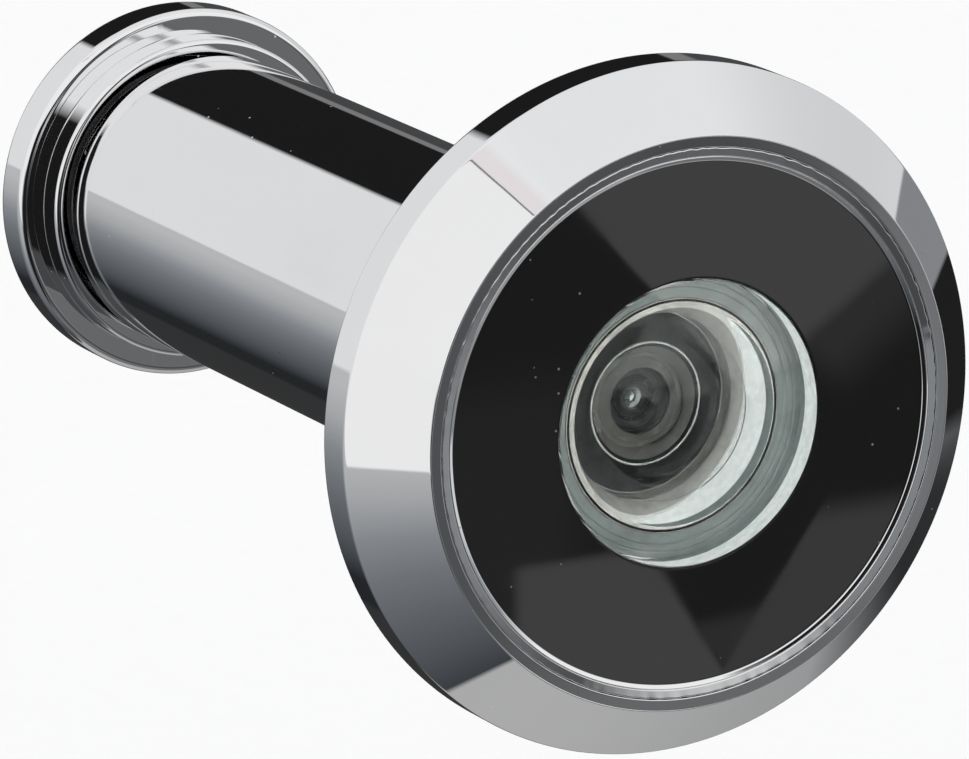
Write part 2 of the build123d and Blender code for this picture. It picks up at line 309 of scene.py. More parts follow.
# ---------------------------------------------------------------- shader nodes
class Shader:
    """Adds nodes to one node tree, in metres of Object coordinates."""

    def __init__(self, tree: bpy.types.NodeTree) -> None:
        """Clear the tree."""
        self.tree = tree
        tree.nodes.clear()

    def node(self, kind: str, **settings: object) -> bpy.types.Node:
        """Add a node and set its properties.

        Args:
            kind: the node's type name, without its common start.
            settings: properties of the node.

        Returns:
            The new node.
        """
        made = self.tree.nodes.new("ShaderNode" + kind)
        for key, value in settings.items():
            setattr(made, key, value)
        return made

    def feed(self, socket: Socket, value: object) -> None:
        """Join a socket to another one, or set it to a plain value.

        Args:
            socket: the input that is fed.
            value: an output of another node, or a number, vector or colour.
        """
        if isinstance(value, Socket):
            self.tree.links.new(value, socket)
        else:
            socket.default_value = value

    def maths(self, operation: str, *values: object) -> Socket:
        """Result of a Math node.

        Args:
            operation: what the node does.
            values: up to three sockets or numbers.

        Returns:
            The result.
        """
        made = self.node("Math", operation=operation)
        for socket, value in zip(made.inputs, values):
            self.feed(socket, value)
        return made.outputs[0]

    def all_of(self, *shares: Socket) -> Socket:
        """Product of two or more shares, which is where all of them hold."""
        return reduce(lambda one, other: self.maths("MULTIPLY", one, other), shares)

    def largest(self, *shares: Socket) -> Socket:
        """The largest of two or more shares, which is where any of them holds."""
        return reduce(lambda one, other: self.maths("MAXIMUM", one, other), shares)

    def place(self) -> Socket:
        """Object coordinates of the piece."""
        return self.node("TexCoord").outputs["Object"]

    def split(self, vector: Socket) -> tuple[Socket, ...]:
        """Take a vector apart.

        Args:
            vector: the vector.

        Returns:
            Its three parts.
        """
        made = self.node("SeparateXYZ")
        self.feed(made.inputs[0], vector)
        return tuple(made.outputs)

    def span(self, value: object, low: float, high: float, start: float = 0.0, end: float = 1.0,
             soft: bool = False) -> Socket:
        """Map a value's range onto another one and clamp it.

        Args:
            value: what is mapped.
            low: value that gives start.
            high: value that gives end.
            start: result at low.
            end: result at high.
            soft: ease in and out at both ends.

        Returns:
            The mapped value.
        """
        kind = "SMOOTHSTEP" if soft else "LINEAR"
        made = self.node("MapRange", interpolation_type=kind)
        for key, item in zip(range(5), (value, low, high, start, end)):
            self.feed(made.inputs[key], item)
        return made.outputs[0]

    def blend(self, share: object, first: object, second: object) -> Socket:
        """Mix two colours.

        Args:
            share: how much of the second colour there is, from 0 to 1.
            first: colour at share 0.
            second: colour at share 1.

        Returns:
            The mixed colour.
        """
        made = self.node("Mix", data_type="RGBA")
        for key, item in ((0, share), (6, first), (7, second)):
            self.feed(made.inputs[key], item)
        return made.outputs[2]

    def noise(self, vector: object, scale: float, detail: float = 3.0, rough: float = 0.5) -> Socket:
        """Soft noise from 0 to 1.

        Args:
            vector: where the pattern is read.
            scale: patches per metre.
            detail: how many finer layers are added.
            rough: strength of each finer layer against the one before.

        Returns:
            The noise.
        """
        made = self.node("TexNoise")
        self.feed(made.inputs["Vector"], vector)
        made.inputs["Scale"].default_value = scale
        made.inputs["Detail"].default_value = detail
        made.inputs["Roughness"].default_value = rough
        return made.outputs[0]

    def specks(self, vector: object, scale: float, size: float, share: float) -> Socket:
        """Small round spots scattered at random.

        Args:
            vector: where the pattern is read.
            scale: cells per metre, with at most one spot in each.
            size: a spot's radius as a share of a cell.
            share: how many of the cells have a spot.

        Returns:
            A mask, 1 in the spots.
        """
        made = self.node("TexVoronoi")
        self.feed(made.inputs["Vector"], vector)
        made.inputs["Scale"].default_value = scale
        spot = self.span(made.outputs["Distance"], size, size * 0.5)
        parts = self.node("SeparateColor")
        self.feed(parts.inputs[0], made.outputs["Color"])
        chosen = self.maths("LESS_THAN", parts.outputs[0], share)
        return self.all_of(spot, chosen)

    def stretched(self, vector: object, scale: tuple[float, float, float],
                  turn: tuple[float, float, float] = (0.0, 0.0, 0.0)) -> Socket:
        """Coordinates scaled along each axis and turned, for patterns that run one way.

        Args:
            vector: the coordinates.
            scale: factor along each axis.
            turn: angles about each axis in radians.

        Returns:
            The new coordinates.
        """
        made = self.node("Mapping", vector_type="POINT")
        self.feed(made.inputs["Vector"], vector)
        made.inputs["Rotation"].default_value = turn
        made.inputs["Scale"].default_value = scale
        return made.outputs[0]

    def round_place(self) -> tuple[Socket, Socket]:
        """Place on a round piece.

        Returns:
            The distance from the viewer's axis and the place along it, in metres.
        """
        x, y, z = self.split(self.place())
        squares = self.maths("ADD", self.maths("MULTIPLY", x, x), self.maths("MULTIPLY", z, z))
        return self.maths("SQRT", squares), y

    def bump(self, height: object, distance: float) -> Socket:
        """Surface normal bent by a pattern's slope.

        Args:
            height: the pattern.
            distance: height in metres that the pattern's value 1 stands for.

        Returns:
            The normal.
        """
        made = self.node("Bump")
        made.inputs["Strength"].default_value = 1.0
        made.inputs["Distance"].default_value = distance
        self.feed(made.inputs["Height"], height)
        return made.outputs[0]

    def surface(self, **sockets: object) -> None:
        """Add the surface shader and join it to the output.

        Args:
            sockets: values by socket name, with underscores for spaces.
        """
        made = self.node("BsdfPrincipled")
        for key, value in sockets.items():
            self.feed(made.inputs[key.replace("_", " ")], value)
        out = self.node("OutputMaterial")
        self.feed(out.inputs[0], made.outputs[0])


# ---------------------------------------------------------------- finishes
@dataclass(frozen=True)
class Finish:
    """A named finish; each kind draws its own nodes."""

    name: str

    def material(self) -> bpy.types.Material:
        """The finish's material, which is made once.

        Returns:
            The material.
        """
        found = bpy.data.materials.get(self.name)
        if found is None:
            found = bpy.data.materials.new(self.name)
            found.use_nodes = True
            self.draw(Shader(found.node_tree))
        return found

    def draw(self, shader: Shader) -> None:
        """Draw the finish's nodes."""
        raise NotImplementedError


@dataclass(frozen=True)
class ChromePlate(Finish):
    """Bright chrome plate: hard mirror, faint handling haze, hairlines, pits and dust."""

    tint: tuple[float, float, float] = (0.87, 0.872, 0.88)
    haze: float = 0.05
    polish: float = 0.025
    dust: float = 0.35

    def draw(self, shader: Shader) -> None:
        """Draw the plate's colour, roughness and relief.

        Args:
            shader: adds nodes to the material.
        """
        place = shader.place()
        cloud = shader.noise(place, 140.0, 5.0, 0.62)
        smear = shader.noise(shader.stretched(place, (1.0, 0.22, 1.0), (0.3, 0.5, 0.9)), 420.0, 4.0)
        haze = shader.all_of(shader.span(cloud, 0.42, 0.75, soft=True), shader.span(smear, 0.35, 0.8))
        hair = shader.noise(shader.stretched(place, (1.0, 0.02, 0.25), (0.2, 0.9, 0.4)), 2600.0, 1.0)
        hairline = shader.span(hair, 0.73, 0.76)
        pits = shader.specks(place, 520.0, 0.032, 0.5)
        dust = shader.specks(shader.stretched(place, (1.0, 1.0, 1.0), (1.1, 0.4, 0.2)), 700.0, 0.045,
                             self.dust)
        marks = shader.largest(pits, dust)
        colour = shader.blend(haze, (*self.tint, 1.0), (0.84, 0.835, 0.825, 1.0))
        colour = shader.blend(pits, colour, (0.30, 0.29, 0.28, 1.0))
        colour = shader.blend(dust, colour, (0.72, 0.72, 0.70, 1.0))
        rough = shader.maths("MULTIPLY_ADD", haze, self.haze, self.polish)
        rough = shader.maths("MULTIPLY_ADD", hairline, 0.03, rough)
        rough = shader.maths("MULTIPLY_ADD", marks, 0.35, rough)
        metal = shader.maths("SUBTRACT", 1.0, shader.maths("MULTIPLY", dust, 0.8))
        swell = shader.noise(place, 230.0, 2.0)
        relief = shader.maths("MULTIPLY_ADD", marks, -0.6, swell)
        relief = shader.maths("MULTIPLY_ADD", hairline, -0.12, relief)
        shader.surface(Base_Color=colour, Metallic=metal, Roughness=rough,
                       Normal=shader.bump(relief, 3.0e-6))


@dataclass(frozen=True)
class TurnedMetal(Finish):
    """Satin turned metal with fine tool marks that run round the axis."""

    tint: tuple[float, float, float] = (0.60, 0.61, 0.62)
    feed_mm: float = 0.09
    rough: float = 0.30
    metal: float = 1.0
    inner_tint: Optional[tuple[float, float, float]] = None
    inner_mm: float = -1.5

    def draw(self, shader: Shader) -> None:
        """Draw tool marks from the distance to the axis and the place along it.

        Args:
            shader: adds nodes to the material.
        """
        radius, along = shader.round_place()
        wander = shader.noise(shader.place(), 300.0, 3.0)
        path = shader.maths("ADD", radius, along)
        path = shader.maths("MULTIPLY_ADD", wander, 0.00003, path)
        marks = shader.maths("SINE", shader.maths("MULTIPLY", path, TAU / (self.feed_mm * MM)))
        stain = shader.span(shader.noise(shader.place(), 650.0, 5.0, 0.65), 0.35, 0.75, soft=True)
        colour = shader.span(along, (self.inner_mm - 0.2) * MM, (self.inner_mm + 0.2) * MM)
        colour = shader.blend(colour, (*self.tint, 1.0), (*(self.inner_tint or self.tint), 1.0))
        colour = shader.blend(shader.maths("MULTIPLY", stain, 0.4), colour, (0.03, 0.03, 0.03, 1.0))
        rough = shader.maths("MULTIPLY_ADD", stain, 0.18, self.rough)
        shader.surface(Base_Color=colour, Metallic=self.metal, Roughness=rough,
                       Normal=shader.bump(marks, 2.2e-6))


@dataclass(frozen=True)
class GlossBlack(Finish):
    """Deep gloss black with dust specks and the faintest swell."""

    tint: tuple[float, float, float] = (0.0045, 0.0045, 0.0048)

    def draw(self, shader: Shader) -> None:
        """Draw dust, faint wiping marks and the gloss.

        Args:
            shader: adds nodes to the material.
        """
        place = shader.place()
        dust = shader.specks(place, 900.0, 0.06, 0.5)
        lint = shader.specks(shader.stretched(place, (1.0, 1.0, 0.12), (0.4, 0.8, 0.1)), 800.0, 0.05, 0.12)
        marks = shader.largest(dust, lint)
        wipe = shader.noise(shader.stretched(place, (0.3, 1.0, 1.0), (0.0, 0.6, 0.0)), 500.0, 4.0)
        colour = shader.blend(marks, (*self.tint, 1.0), (0.16, 0.16, 0.17, 1.0))
        rough = shader.span(wipe, 0.35, 0.9, 0.006, 0.022)
        rough = shader.maths("MULTIPLY_ADD", marks, 0.5, rough)
        shader.surface(Base_Color=colour, Roughness=rough, IOR=1.5,
                       Normal=shader.bump(shader.noise(place, 160.0, 2.0), 4.0e-7))


@dataclass(frozen=True)
class MattBlack(Finish):
    """Matt black anodising or paint, slightly grey on its rubbed places."""

    grain: float = 3200.0
    tint: tuple[float, float, float] = (0.018, 0.018, 0.019)

    def draw(self, shader: Shader) -> None:
        """Draw a fine grain and rubbed patches.

        Args:
            shader: adds nodes to the material.
        """
        place = shader.place()
        rub = shader.span(shader.noise(place, 480.0, 5.0, 0.7), 0.5, 0.8, soft=True)
        grain = shader.noise(place, self.grain, 2.0)
        worn = tuple(2.6 * c for c in self.tint)
        colour = shader.blend(rub, (*self.tint, 1.0), (*worn, 1.0))
        rough = shader.span(rub, 0.0, 1.0, 0.62, 0.42)
        shader.surface(Base_Color=colour, Roughness=rough, Normal=shader.bump(grain, 1.2e-5))


@dataclass(frozen=True)
class SoftRubber(Finish):
    """Black rubber with moulding grain and pale bloom."""

    def draw(self, shader: Shader) -> None:
        """Draw bloom and a fine grain.

        Args:
            shader: adds nodes to the material.
        """
        place = shader.place()
        bloom = shader.span(shader.noise(place, 700.0, 5.0, 0.6), 0.45, 0.8, soft=True)
        colour = shader.blend(bloom, (0.016, 0.016, 0.016, 1.0), (0.05, 0.05, 0.048, 1.0))
        rough = shader.span(bloom, 0.0, 1.0, 0.7, 0.9)
        shader.surface(Base_Color=colour, Roughness=rough,
                       Normal=shader.bump(shader.noise(place, 2600.0, 3.0), 2.0e-5))


@dataclass(frozen=True)
class OpticalGlass(Finish):
    """Clear crown glass, faintly green, with a few specks of dust in the polish."""

    tint: tuple[float, float, float] = (0.975, 1.0, 0.985)

    def draw(self, shader: Shader) -> None:
        """Draw the glass with dust and a trace of haze in its roughness.

        Args:
            shader: adds nodes to the material.
        """
        place = shader.place()
        dust = shader.specks(place, 620.0, 0.035, 0.08)
        wipe = shader.noise(place, 380.0, 4.0)
        colour = shader.blend(dust, (*self.tint, 1.0), (0.55, 0.56, 0.55, 1.0))
        rough = shader.maths("MULTIPLY", dust, 0.4)
        shader.surface(Base_Color=colour, Roughness=rough, IOR=1.52, Transmission_Weight=1.0,
                       Normal=shader.bump(wipe, 4.0e-7))


@dataclass(frozen=True)
class GroundGlass(Finish):
    """The ground edge of a lens: frosted, pale and slightly uneven."""

    tint: tuple[float, float, float] = (0.80, 0.84, 0.83)

    def draw(self, shader: Shader) -> None:
        """Draw the frosting and its grain.

        Args:
            shader: adds nodes to the material.
        """
        place = shader.place()
        grain = shader.noise(place, 1800.0, 4.0, 0.7)
        dark = tuple(0.72 * c for c in self.tint)
        colour = shader.blend(shader.span(grain, 0.3, 0.7), (*self.tint, 1.0), (*dark, 1.0))
        shader.surface(Base_Color=colour, Roughness=shader.span(grain, 0.3, 0.7, 0.45, 0.7),
                       Normal=shader.bump(grain, 6.0e-6))


CHROME = ChromePlate("chrome_plate")
THREAD_METAL = TurnedMetal("plated_thread", (0.74, 0.74, 0.75), 0.12, 0.16)
CELL_METAL = TurnedMetal("cell_grey_metal", (0.135, 0.155, 0.152), 0.09, 0.36, 0.1, (0.50, 0.475, 0.455))
SPACER_METAL = TurnedMetal("spacer_metal", (0.36, 0.345, 0.325), 0.07, 0.32, 0.15)
STOP_BLACK = MattBlack("stop_black", 3200.0, (0.16, 0.148, 0.14))
TUBE_BLACK = MattBlack("tube_black")
PLATE_BLACK = GlossBlack("window_black")
RUBBER = SoftRubber("seal_rubber")
GLASS = OpticalGlass("clear_crown_glass")
GROUND = GroundGlass("white_lens_edge")
EDGE_GREEN = GroundGlass("green_lens_edge", (0.15, 0.185, 0.18))
# Frosted lens edge darkened to mid grey: the darkness is painted shade for edges that sit in shadow inside
# the cell.
EDGE_SHADED_GREY = GroundGlass("shaded_grey_lens_edge", (0.45, 0.43, 0.41))


# ---------------------------------------------------------------- pieces
@dataclass
class SubAssembly:
    """Pieces that ride on one body."""

    body: Body
    pieces: list[bpy.types.Object] = field(default_factory=list)

    def fit(self, piece: bpy.types.Object, node: str, slot: str, *finishes: Finish) -> None:
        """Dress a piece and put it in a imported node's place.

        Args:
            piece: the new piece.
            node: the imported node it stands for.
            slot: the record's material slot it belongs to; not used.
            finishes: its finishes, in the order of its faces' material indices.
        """
        for finish in finishes:
            piece.data.materials.append(finish.material())
        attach(piece, self.body.value)
        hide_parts(node)
        self.pieces.append(piece)
        LOG.info("%s: %d faces, rides on %s", piece.name, len(piece.data.polygons), self.body.value)

    def ring(self, name: str, node: str, slot: str, finish: Finish, radii: tuple[float, float],
             ends: tuple[float, float], edges: Sequence[float] = (0.03,) * 4,
             warp: Optional[Warp] = None) -> None:
        """Build a plain ring with broken edges.

        Args:
            name: the piece's name.
            node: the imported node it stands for.
            slot: the record's material slot.
            finish: the ring's finish.
            radii: inner and outer radius in mm.
            ends: its street end and its room end on the axis in mm.
            edges: setbacks of the four corners, from the inner street one round.
            warp: cuts slots into it.
        """
        (inner_r, outer_r), (start_y, end_y) = radii, ends
        corners = ((inner_r, start_y), (outer_r, start_y), (outer_r, end_y), (inner_r, end_y))
        shape = outline([(*corner, edge) for corner, edge in zip(corners, edges)], steps=4, hold=0.02)
        self.fit(spin(name, shape, 160, warp), node, slot, finish)

    def build(self) -> None:
        """Build every piece."""
        raise NotImplementedError


@dataclass
class FrontFlange(SubAssembly):
    """Chrome flange with its bevel, the spun-over ring, the black plate and its cushion."""

    body: Body = Body.OUTER
    rim_r: float = 15.27
    rim_y: float = -1.92
    face_r: float = 12.62
    face_y: float = -4.78
    pocket_r: float = 12.10
    land_fall: float = 0.035
    floor_y: float = -1.20
    barrel_seat_r: float = 7.42
    plate_y: float = -4.50
    plate_back_y: float = -3.45
    plate_r: float = 11.80
    window_r: float = 6.36
    sleeve_fit: float = 0.02
    sleeve_wall: float = 0.26
    sleeve_length: float = 1.50
    lip_r: float = 11.46
    lip_drop: float = 0.19
    crease_r: float = 11.68
    crease_drop: float = 0.15
    crease_half: float = 0.03
    cushion_bore_r: float = 9.30

    def build(self) -> None:
        """Build the flange, the ring, the plate and the cushion."""
        self.flange()
        self.spun_ring()
        self.plate()
        self.cushion()

    def flange(self) -> None:
        """The turned flange, with its edges broken by polishing."""
        shape = outline([
            (self.barrel_seat_r, 0.0, 0.02),
            (self.rim_r, 0.0, 0.16),
            (self.rim_r, self.rim_y, 0.10, 2),
            (self.face_r, self.face_y, 0.03),
            (self.pocket_r, self.face_y + self.land_fall, 0.04),
            (self.pocket_r, self.floor_y, 0.03),
            (self.barrel_seat_r, self.floor_y, 0.02),
        ])
        self.fit(spin("chrome_front_flange", shape, 384), "front_flange", "chrome", CHROME)

    def spun_ring(self) -> None:
        """The bright edge spun over the plate."""
        outer = self.pocket_r - self.sleeve_fit
        sleeve = outer - self.sleeve_wall
        end_y = self.plate_y + self.sleeve_length
        crease_y = self.face_y + self.crease_drop
        shape = outline([
            (outer, self.face_y + self.land_fall, 0.07, 2),
            (outer, end_y, 0.03),
            (sleeve, end_y, 0.03),
            (sleeve, self.plate_y, 0.02),
            (self.lip_r, self.plate_y, 0.03),
            (self.lip_r, self.face_y + self.lip_drop, 0.06, 3),
            (self.crease_r - self.crease_half, crease_y - 0.028, 0.01),
            (self.crease_r, crease_y, 0.01),
            (self.crease_r + self.crease_half, crease_y - 0.038, 0.01),
        ], hold=0.01)
        uneven = HandSpunEdge(outer, self.face_y + self.land_fall, 0.2, 0.028)
        piece = spin("spun_edge_ring", shape, 512, uneven.warp)
        self.fit(piece, "front_retaining_ring", "chrome", CHROME)

    def plate(self) -> None:
        """The gloss black plate with its round window."""
        shape = outline([
            (self.window_r, self.plate_y, 0.035),
            (self.plate_r, self.plate_y, 0.10),
            (self.plate_r, self.plate_back_y, 0.03),
            (self.window_r, self.plate_back_y, 0.02),
        ])
        self.fit(spin("window_plate", shape, 320), "mask_plate", "black_plate", PLATE_BLACK)

    def cushion(self) -> None:
        """The rubber cushion behind the plate."""
        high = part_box("cushion_ring")[1]
        outer_r, end_y = high.x / MM, high.y / MM
        shape = outline([
            (self.cushion_bore_r, self.plate_back_y, 0.12),
            (outer_r, self.plate_back_y, 0.12),
            (outer_r, end_y, 0.12),
            (self.cushion_bore_r, end_y, 0.12),
        ])
        self.fit(spin("cushion_rubber", shape, 192), "cushion_ring", "black_rubber", RUBBER)


@dataclass
class Barrel(SubAssembly):
    """Chrome barrel with its collar and the thread inside its open end."""

    body: Body = Body.OUTER
    outer_r: float = 7.00
    bore_r: float = 6.44
    seat_r: float = 7.40
    collar_r: float = 9.00
    collar_y: float = -1.90
    floor_y: float = -1.20
    end_y: float = 41.65
    thread: Thread = Thread(6.44, -0.52, 33.15, 8.0)
    thread_cuts: int = 134

    def build(self) -> None:
        """Build the barrel as one closed surface."""
        start, end = self.thread.start_y, self.thread.start_y + self.thread.turns
        shape = outline([
            (self.bore_r, self.collar_y, 0.03),
            (self.collar_r, self.collar_y, 0.04),
            (self.collar_r, self.floor_y, 0.04),
            (self.seat_r, self.floor_y, 0.02),
            (self.seat_r, 0.0, 0.02),
            (self.outer_r, 0.0, 0.02, 6),
            (self.outer_r, self.end_y, 0.09),
            (self.bore_r, self.end_y, 0.06, 2),
            (self.bore_r, end + 0.2, 0.03, self.thread_cuts),
            (self.bore_r, start - 0.5, 0.03),
        ])
        piece = spin("chrome_barrel", shape, 240, self.thread.warp)
        self.fit(piece, "barrel", "chrome", CHROME)


@dataclass(frozen=True)
class LensShape:
    """A round lens between two faces; a face's depth bulges out when it is less than zero."""

    radius: float
    front_y: float
    back_y: float
    front_face: tuple[float, float] = (0.0, 0.0)
    back_face: tuple[float, float] = (0.0, 0.0)
    white_depth: float = 0.0
    bevel: float = 0.06
    rim: float = 0.07

    def profile(self) -> tuple[np.ndarray, list[tuple[int, int, int]]]:
        """Profile from the front pole round the edge to the back pole.

        Returns:
            The profile in mm, and the zones of faces: 1 is the white part of the ground edge
            and the rims of the hollow faces, 2 the rest of the ground edge.
        """
        front_r, front_depth = self.front_face
        back_r, back_depth = self.back_face
        flat = self.radius - self.bevel
        front = sphere_face(self.front_y + front_depth, front_r or flat, self.front_y)
        back = sphere_face(self.back_y - back_depth, back_r or flat, self.back_y)[::-1]
        split = self.front_y + max(self.white_depth, self.bevel + 0.02)
        edge_y = np.append(np.linspace(self.front_y + self.bevel, split, 5),
                           np.linspace(split, self.back_y - self.bevel, 9)[1:])
        edge = np.column_stack([np.full(13, self.radius), edge_y])
        lines, zones = [front], []
        if front_r and front_r < flat:
            lines.append(np.array([(front_r + self.rim, self.front_y), (flat, self.front_y)]))
            zones.append((len(front) - 2, len(front) - 1, 1))
        start = sum(len(line) for line in lines) - 1
        zones += [(start, start + 4, 1), (start + 4, start + 12, 2)]
        lines.append(edge)
        if back_r and back_r < flat:
            lines.append(np.array([(flat, self.back_y), (back_r + self.rim, self.back_y)]))
            zones.append((start + 14, start + 15, 1))
        lines.append(back)
        return np.vstack(lines), zones


@dataclass
class Objective(SubAssembly):
    """The lens cell with its three lenses, spacers, stop and lock ring."""

    body: Body = Body.OUTER
    head_r: float = 8.20
    head_y: float = -3.45
    head_bore_r: float = 6.35
    shoulder_y: float = -1.90
    cell_r: float = 6.41
    front_bore_r: float = 5.18
    web_r: float = 3.45
    web_y: tuple[float, float] = (1.60, 2.40)
    rear_bore_r: float = 4.63
    end_y: float = 7.60
    ledge_drop: float = 0.03
    groove_r: tuple[float, float] = (5.68, 6.00)
    groove_depth: float = 0.06
    spacer_bore_r: float = 4.80
    stop_bore_r: float = 2.60
    lock_bore_r: float = 3.61
    lock_y: tuple[float, float] = (5.60, 7.00)
    lock_slot: CrossSlot = CrossSlot(0.80, 6.50)
    front: LensShape = LensShape(6.33, -4.48, -1.95, (0.0, 0.0), (5.02, 1.63), 1.90)
    middle: LensShape = LensShape(5.16, -0.80, 1.60, (0.0, 0.0), (3.40, 1.60))
    rear: LensShape = LensShape(4.61, 2.60, 5.00, (3.70, 0.75), (3.70, 0.75))

    def build(self) -> None:
        """Build the cell and what it holds."""
        front, middle, rear = self.front, self.middle, self.rear
        self.cell()
        self.lens("first_lens", "front_lens", front, 256)
        self.lens("second_lens", "middle_lens", middle, 192)
        self.lens("third_lens", "rear_lens", rear, 192)
        self.ring("first_spacer", "front_spacer", "cell_metal", SPACER_METAL,
                  (self.spacer_bore_r, middle.radius), (front.back_y, middle.front_y))
        self.ring("light_stop", "stop_washer", "black_anodised", STOP_BLACK,
                  (self.stop_bore_r, rear.radius), (self.web_y[1], rear.front_y))
        self.ring("third_spacer", "rear_spacer", "black_anodised", STOP_BLACK,
                  (rear.back_face[0], rear.radius), (rear.back_y, self.lock_y[0]))
        self.ring("lens_lock_ring", "objective_lock_ring", "cell_metal", CELL_METAL,
                  (self.lock_bore_r, rear.radius), self.lock_y, warp=self.lock_slot.warp)

    def cell(self) -> None:
        """The turned cell: head, ledge with two fine grooves, bore, web and rear bore."""
        ledge, half = self.front.back_y + self.ledge_drop, self.groove_depth
        grooves = []
        for groove_r in self.groove_r:
            grooves += [(groove_r - half, ledge, 0.02), (groove_r, ledge + half, 0.02),
                        (groove_r + half, ledge, 0.02)]
        shape = outline([
            (self.head_bore_r, self.head_y, 0.05),
            (self.head_r, self.head_y, 0.06),
            (self.head_r, self.shoulder_y, 0.04),
            (self.cell_r, self.shoulder_y, 0.03),
            (self.cell_r, self.end_y, 0.10),
            (self.rear_bore_r, self.end_y, 0.10),
            (self.rear_bore_r, self.web_y[1], 0.02),
            (self.web_r, self.web_y[1], 0.05),
            (self.web_r, self.web_y[0], 0.05),
            (self.front_bore_r, self.web_y[0], 0.03),
            (self.front_bore_r, ledge, 0.06),
            *grooves,
            (self.head_bore_r, ledge, 0.03),
        ], steps=4, hold=0.015)
        self.fit(spin("objective_barrel", shape, 224), "objective_cell", "cell_metal", CELL_METAL)

    def lens(self, name: str, node: str, shape: LensShape, columns: int) -> None:
        """One lens, clear on its faces and ground on its edge.

        Args:
            name: the piece's name.
            node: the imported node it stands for.
            shape: the lens's two faces and edge.
            columns: points round the axis.
        """
        profile, zones = shape.profile()
        # Lenses without a white edge zone take the darkened frosted edge, whose grey is painted shade.
        edge = EDGE_GREEN if shape.white_depth else EDGE_SHADED_GREY
        self.fit(spin(name, profile, columns, zones=zones), node, "lens_glass", GLASS, GROUND, edge)


@dataclass
class EyepieceOptics(SubAssembly):
    """What slides with the rear unit without showing its turn: lens, seal and glare baffle."""

    body: Body = Body.OPTICS
    lens: LensShape = LensShape(4.90, 40.55, 41.65, (3.90, -0.85), (3.90, -0.85), 0.0, 0.04)
    seal_bore_r: float = 3.95
    seal_end_y: float = 42.10
    baffle_r: tuple[float, float] = (3.40, 5.02)
    baffle_y: tuple[float, float] = (13.20, 16.40)

    def build(self) -> None:
        """Build the eyepiece lens, its seal and the baffle."""
        profile, zones = self.lens.profile()
        piece = spin("eyepiece_lens", profile, 192, zones=zones)
        # The eye lens's frosted edge also takes the darkened grey, which is painted shade.
        self.fit(piece, "eye_lens", "lens_glass", GLASS, GROUND, EDGE_SHADED_GREY)
        self.ring("eyepiece_seal", "eye_seal", "black_rubber", RUBBER,
                  (self.seal_bore_r, self.lens.radius), (self.lens.back_y, self.seal_end_y), (0.08,) * 4)
        self.ring("glare_tube", "glare_baffle", "black_anodised", TUBE_BLACK,
                  self.baffle_r, self.baffle_y, (0.06, 0.10, 0.06, 0.06))


@dataclass
class RearUnit(SubAssembly):
    """The threaded tube with its seal, the rear flange and the ring that holds the eye lens."""

    body: Body = Body.EYEPIECE
    tube_start_y: float = 13.20
    tube_chamfer: float = 0.45
    bore_r: float = 5.04
    root_r: float = 5.79
    cut_start_y: float = 14.20
    thread_cuts: int = 426
    neck_r: float = 5.76
    neck_y: float = 41.15
    end_r: float = 6.02
    lens_seat_r: float = 4.92
    lens_seat_y: float = 40.55
    lip_bore_r: float = 4.45
    lip_y: float = 39.75
    seal_r: float = 6.01
    seal_y: float = 42.10
    seal_half: float = 0.25
    ring_r: tuple[float, float] = (3.95, 4.90)
    ring_y: tuple[float, float] = (42.10, 43.25)
    hub_y: float = 42.35
    hub_r: float = 7.62
    seat_y: float = 43.70
    socket_y: float = 44.65
    face_y: float = 45.95
    flange_r: float = 8.82
    dish_r: float = 6.90
    dish_depth: float = 0.85
    thread: Thread = Thread(5.79, 0.52, 14.65, 26.0)
    coin_slot: CrossSlot = CrossSlot(1.60, 45.05, 6.95)
    spanner_slot: CrossSlot = CrossSlot(0.80, 42.75)

    def build(self) -> None:
        """Build the tube, its seal, the flange and the ring."""
        self.tube()
        self.seal()
        self.flange()
        self.ring("eyepiece_lock_ring", "eye_retaining_ring", "black_anodised", TUBE_BLACK,
                  self.ring_r, self.ring_y, (0.04, 0.04, 0.05, 0.05), self.spanner_slot.warp)

    def tube(self) -> None:
        """The tube with its outside thread, neck and lens seat."""
        shape = outline([
            (self.bore_r, self.tube_start_y, 0.04),
            (self.root_r - self.tube_chamfer, self.tube_start_y, 0.03),
            (self.root_r, self.tube_start_y + self.tube_chamfer, 0.05),
            (self.root_r, self.cut_start_y, 0.03, self.thread_cuts),
            (self.root_r, self.neck_y, 0.02),
            (self.neck_r, self.neck_y, 0.01),
            (self.neck_r, self.hub_y, 0.04),
            (self.end_r, self.hub_y, 0.04),
            (self.end_r, self.socket_y, 0.04),
            (self.lens_seat_r, self.socket_y, 0.05),
            (self.lens_seat_r, self.lens_seat_y, 0.03),
            (self.lip_bore_r, self.lens_seat_y, 0.03),
            (self.lip_bore_r, self.lip_y, 0.03),
            (self.bore_r, self.lip_y, 0.03),
        ], steps=3, hold=0.01)
        piece = spin("threaded_tube", shape, 176, self.thread.warp)
        self.fit(piece, "eyepiece_tube", "thread_metal", THREAD_METAL)

    def seal(self) -> None:
        """The round rubber ring in the neck: a circle carried round the axis."""
        turn = np.linspace(0.0, TAU, 24, endpoint=False)
        profile = np.column_stack([self.seal_r + self.seal_half * np.cos(turn),
                                   self.seal_y + self.seal_half * np.sin(turn)])
        self.fit(spin("neck_rubber", profile, 192), "neck_seal", "black_rubber", RUBBER)

    def flange(self) -> None:
        """The rear flange with its hub, dished face and coin slot."""
        bore_r = self.end_r + 0.02
        shape = outline([
            (bore_r, self.hub_y, 0.02),
            (self.hub_r, self.hub_y, 0.20, 2),
            (self.hub_r, self.seat_y, 0.02, 2),
            (self.flange_r, self.seat_y, 0.36, 2),
            (self.flange_r, self.face_y, 0.36, 2),
            (self.dish_r, self.face_y, 0.10, 8),
            (self.lens_seat_r, self.face_y - self.dish_depth, 0.08, 4),
            (self.lens_seat_r, self.socket_y, 0.02),
            (bore_r, self.socket_y, 0.02),
        ])
        piece = spin("chrome_rear_flange", shape, 320, self.coin_slot.warp)
        self.fit(piece, "rear_flange", "chrome", CHROME)


